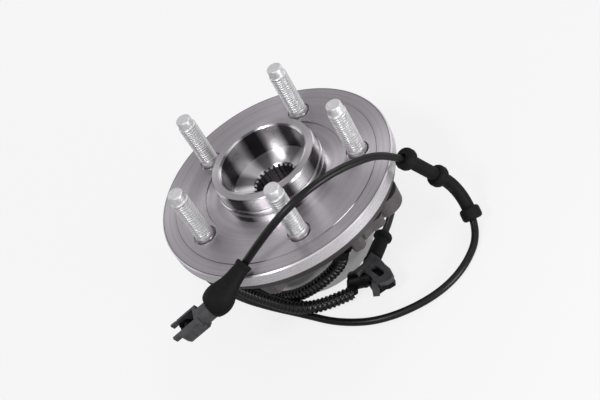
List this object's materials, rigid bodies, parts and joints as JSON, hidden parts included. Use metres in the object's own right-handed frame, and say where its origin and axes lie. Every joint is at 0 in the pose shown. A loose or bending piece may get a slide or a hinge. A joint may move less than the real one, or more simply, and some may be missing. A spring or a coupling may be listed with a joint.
{
  "type": "wheel hub bearing",
  "caption": "Driven wheel hub bearing with stud flange, splined bore, bolt-on housing and a wheel speed sensor harness ending in a plug.",
  "frame": {"origin": "centre of the wheel mounting face, on the hub axis", "axes": "+Z along the hub axis, outboard toward the wheel; the housing and its knuckle face are below"},
  "size_m": [0.1978, 0.2092, 0.1124],
  "materials": {
    "turned_steel": "satin",
    "zinc_steel": "satin",
    "bearing_steel": "polished",
    "cast_housing": "rough",
    "seal_rubber": "matte",
    "cable_rubber": "matte",
    "black_plastic": "matte",
    "grey_plastic": "matte",
    "cage_plastic": "matte",
    "tinned_brass": "satin"
  },
  "bodies": {
    "housing": {"outer_housing": "cast_housing", "housing_flange": "cast_housing", "seal_case_outboard": "zinc_steel", "seal_lip_outboard": "seal_rubber", "seal_case_inboard": "zinc_steel", "speed_sensor": "black_plastic", "sensor_oring": "seal_rubber", "sensor_screw": "zinc_steel", "sensor_conduit": "cable_rubber", "plug_b": "black_plastic", "connector_b": "grey_plastic", "latch_b": "grey_plastic", "terminals_b": "tinned_brass", "boot_b": "cable_rubber", "harness_cable": "cable_rubber", "grommet_1": "cable_rubber", "grommet_2": "cable_rubber", "grommet_3": "cable_rubber", "sleeve_1": "cable_rubber", "sleeve_2": "cable_rubber", "boot_a": "cable_rubber", "connector_a": "grey_plastic", "lock_a": "black_plastic", "terminals_a": "tinned_brass"},
    "hub": {"hub_spindle": "turned_steel", "hub_flange": "turned_steel", "hub_pilot": "turned_steel", "wheel_studs": "zinc_steel", "inner_ring": "bearing_steel", "tone_ring": "zinc_steel", "seal_flinger": "zinc_steel"},
    "ball_set_outboard": {"balls_outboard": "bearing_steel", "cage_outboard": "cage_plastic"},
    "ball_set_inboard": {"balls_inboard": "bearing_steel", "cage_inboard": "cage_plastic"}
  },
  "joints": [
    {"name": "hub_spin", "type": "hinge", "parent": "housing", "child": "hub", "pos_m": [0, 0, 0], "axis": [0, 0, 1], "continuous": true},
    {"name": "cage_outboard_spin", "type": "hinge", "parent": "housing", "child": "ball_set_outboard", "pos_m": [0, 0, -0.0435], "axis": [0, 0, 1], "continuous": true},
    {"name": "cage_inboard_spin", "type": "hinge", "parent": "housing", "child": "ball_set_inboard", "pos_m": [0, 0, -0.0625], "axis": [0, 0, 1], "continuous": true}
  ],
  "couplings": [
    {"joint": "cage_outboard_spin", "follows": "hub_spin", "ratio": 0.4},
    {"joint": "cage_inboard_spin", "follows": "hub_spin", "ratio": 0.4}
  ]
}
